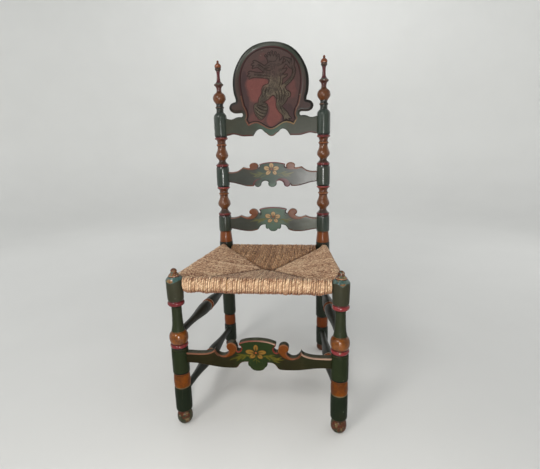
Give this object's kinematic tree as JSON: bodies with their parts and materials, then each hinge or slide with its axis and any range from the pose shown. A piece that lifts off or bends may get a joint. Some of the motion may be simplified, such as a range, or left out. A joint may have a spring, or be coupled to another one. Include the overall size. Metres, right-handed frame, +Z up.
{
  "type": "side chair",
  "caption": "High-backed painted side chair with turned posts, round carved crest, fretted slats and front stretcher, turned side stretchers and a woven rush seat.",
  "frame": {"origin": "on the floor, at the centre of the chair's outline", "axes": "+Z up; -Y is the front, the way the sitter faces; +X is the viewer's right, seen from the front"},
  "size_m": [0.512, 0.5165, 1.16],
  "materials": {
    "back_post_paint": "aged oil paint in bands of dark green, orange-brown and maroon, satin, worn at the arrises",
    "front_post_paint": "aged oil paint in bands of dark green, orange-brown and red, satin, chipped at the finial, shoulder and foot",
    "crest_paint": "aged paint, dark green rim and yoke round a maroon carved panel, satin, dusty",
    "slat_paint": "aged dark green paint with painted flowers and leaves, maroon and orange-brown edges",
    "front_stretcher_paint": "aged moss green paint with a painted flower and leaves, salmon and orange edges",
    "side_stretcher_paint": "aged grey-green paint with an orange ring line",
    "bare_wood": "bare hardwood, unpainted, hidden under the rush",
    "rush": "twisted natural rush cord, straw to tan, dry and slightly glossy on the crowns of the strands",
    "rush_stuffing": "loose broken rush"
  },
  "bodies": {
    "root": {"back_post_left": "back_post_paint", "back_post_right": "back_post_paint", "front_post_left": "front_post_paint", "front_post_right": "front_post_paint", "crest_rail": "crest_paint", "slat_middle": "slat_paint", "slat_lower": "slat_paint", "front_stretcher": "front_stretcher_paint", "side_stretcher_upper_left": "side_stretcher_paint", "side_stretcher_upper_right": "side_stretcher_paint", "side_stretcher_lower_left": "side_stretcher_paint", "side_stretcher_lower_right": "side_stretcher_paint", "seat_rail_front": "bare_wood", "seat_rail_back": "bare_wood", "seat_rail_left": "bare_wood", "seat_rail_right": "bare_wood", "rush_seat": "rush", "seat_packing_front": "rush_stuffing", "seat_packing_back": "rush_stuffing", "seat_packing_left": "rush_stuffing", "seat_packing_right": "rush_stuffing"}
  },
  "joints": []
}
